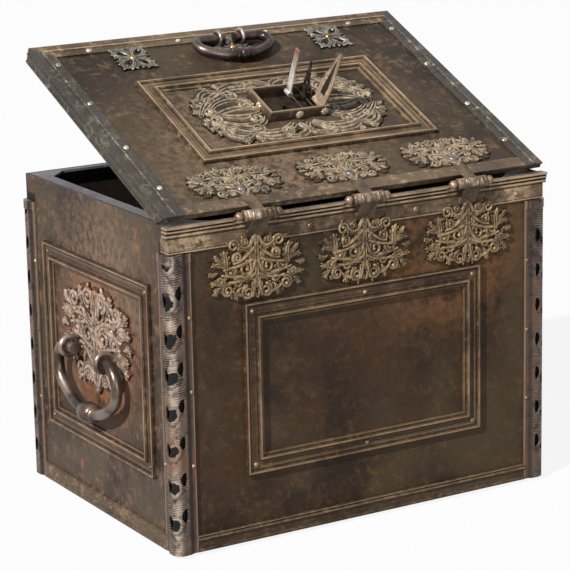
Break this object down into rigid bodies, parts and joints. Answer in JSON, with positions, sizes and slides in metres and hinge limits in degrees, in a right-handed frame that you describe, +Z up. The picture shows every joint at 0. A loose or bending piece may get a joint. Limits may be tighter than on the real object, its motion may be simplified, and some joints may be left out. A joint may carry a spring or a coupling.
{
  "type": "armada chest",
  "caption": "Wrought iron strongbox with a hinged flat lid, pierced strap hinges, drop handles, a keyhole box with cover leaves and a lock that throws bolts under the rim.",
  "frame": {"origin": "centre of the object's footprint on the floor, under the feet", "axes": "+X along the hinge line to the right when facing the hinge wall, +Y from the hinge wall to the opening wall, +Z up"},
  "size_m": [0.4944, 0.3374, 0.4761],
  "materials": {
    "wrought_iron": "dark brown patinated wrought iron plate with orange rust bloom",
    "trim_iron": "blue-grey worn iron sheet, engraved and pierced",
    "moulding_iron": "drawn iron mouldings with rubbed tan edges",
    "ornament_iron": "chased and pierced iron plate, golden brown on its raised edges",
    "handle_iron": "smooth dark forged iron bar with a soft sheen",
    "rivet_iron": "worn domed iron rivet heads",
    "bright_steel": "rubbed bright steel",
    "lock_iron": "oiled dark steel lock parts",
    "brass": "small polished brass ball rivets"
  },
  "bodies": {
    "chest": {"bottom_plate": "wrought_iron", "hinge_wall": "wrought_iron", "opening_wall": "wrought_iron", "left_wall": "wrought_iron", "right_wall": "wrought_iron", "feet": "wrought_iron", "rim_flange_left": "wrought_iron", "rim_flange_right": "wrought_iron", "rim_flange_opening": "wrought_iron", "corner_trim_hinge_left": "trim_iron", "corner_trim_hinge_right": "trim_iron", "corner_trim_opening_left": "trim_iron", "corner_trim_opening_right": "trim_iron", "top_band": "moulding_iron", "foot_band_hinge": "moulding_iron", "foot_band_opening": "moulding_iron", "foot_bands_ends": "moulding_iron", "panel_frame_hinge": "moulding_iron", "panel_frame_opening": "moulding_iron", "panel_frame_left": "moulding_iron", "panel_frame_right": "moulding_iron", "side_ornament_left": "ornament_iron", "side_ornament_right": "ornament_iron", "handle_eyes_left": "handle_iron", "handle_eyes_right": "handle_iron", "lower_hinge_left": "ornament_iron", "lower_hinge_middle": "ornament_iron", "lower_hinge_right": "ornament_iron", "hinge_pins": "bright_steel", "wall_rivets": "rivet_iron"},
    "lid": {"lid_plate": "wrought_iron", "lid_border_left": "moulding_iron", "lid_border_right": "moulding_iron", "lid_border_opening": "moulding_iron", "lid_border_hinge": "moulding_iron", "panel_frame_lid": "moulding_iron", "upper_hinge_left": "ornament_iron", "upper_hinge_middle": "ornament_iron", "upper_hinge_right": "ornament_iron", "keyhole_box": "wrought_iron", "cover_pins": "rivet_iron", "lid_ornament": "ornament_iron", "rosettes": "ornament_iron", "rosette_rivets": "brass", "lid_handle_eyes": "handle_iron", "lid_rivets": "rivet_iron", "box_rivets": "rivet_iron", "lock_plate": "lock_iron", "bolt_guides": "lock_iron", "lock_cover": "lock_iron"},
    "left_handle": {"side_handle_left": "handle_iron"},
    "right_handle": {"side_handle_right": "handle_iron"},
    "top_handle": {"lid_handle": "handle_iron"},
    "cover_strip": {"keyhole_strip": "bright_steel"},
    "cover_leaf": {"keyhole_leaf": "lock_iron"},
    "cover_flap": {"keyhole_flap": "bright_steel"},
    "left_bolts": {"throw_bar_left": "lock_iron"},
    "right_bolts": {"throw_bar_right": "lock_iron"},
    "opening_bolts": {"throw_bar_opening": "lock_iron"},
    "hub": {"key_hub": "lock_iron"}
  },
  "joints": [
    {"name": "lid_hinge", "type": "hinge", "parent": "chest", "child": "lid", "pos_m": [0, -0.1633, 0.3382], "axis": [1, 0, 0], "range_deg": [-23.5, 71.5]},
    {"name": "left_handle_swing", "type": "hinge", "parent": "chest", "child": "left_handle", "pos_m": [-0.235, 0.0047, 0.176], "axis": [0, 1, 0], "range_deg": [0, 165]},
    {"name": "right_handle_swing", "type": "hinge", "parent": "chest", "child": "right_handle", "pos_m": [0.235, 0.0047, 0.176], "axis": [0, -1, 0], "range_deg": [0, 165]},
    {"name": "lid_handle_swing", "type": "hinge", "parent": "lid", "child": "top_handle", "pos_m": [0, 0.10811, 0.46635], "axis": [-1, 0, 0], "range_deg": [0, 140]},
    {"name": "keyhole_strip_turn", "type": "hinge", "parent": "lid", "child": "cover_strip", "pos_m": [0.007, -0.0144, 0.41581], "axis": [0, 0.9171, 0.3987], "range_deg": [-80, 15]},
    {"name": "keyhole_leaf_turn", "type": "hinge", "parent": "lid", "child": "cover_leaf", "pos_m": [0.02, -0.0144, 0.41581], "axis": [0, 0.9171, 0.3987], "range_deg": [-80, 10]},
    {"name": "keyhole_flap_turn", "type": "hinge", "parent": "lid", "child": "cover_flap", "pos_m": [0.0295, -0.0144, 0.41581], "axis": [0, 0.9171, 0.3987], "range_deg": [-89, 12]},
    {"name": "key_turn", "type": "hinge", "parent": "lid", "child": "hub", "pos_m": [0, -0.0065, 0.39765], "axis": [0, -0.3987, 0.9171], "range_deg": [0, 26.98]},
    {"name": "left_bolts_throw", "type": "slide", "parent": "lid", "child": "left_bolts", "axis": [-1, 0, 0], "range_m": [0, 0.014]},
    {"name": "right_bolts_throw", "type": "slide", "parent": "lid", "child": "right_bolts", "axis": [1, 0, 0], "range_m": [0, 0.014]},
    {"name": "opening_bolts_throw", "type": "slide", "parent": "lid", "child": "opening_bolts", "axis": [0, 0.9171, 0.3987], "range_m": [0, 0.014]}
  ],
  "couplings": [
    {"joint": "left_bolts_throw", "follows": "key_turn", "m_per_rad": 0.029723},
    {"joint": "right_bolts_throw", "follows": "key_turn", "m_per_rad": 0.029723},
    {"joint": "opening_bolts_throw", "follows": "key_turn", "m_per_rad": 0.029723}
  ]
}
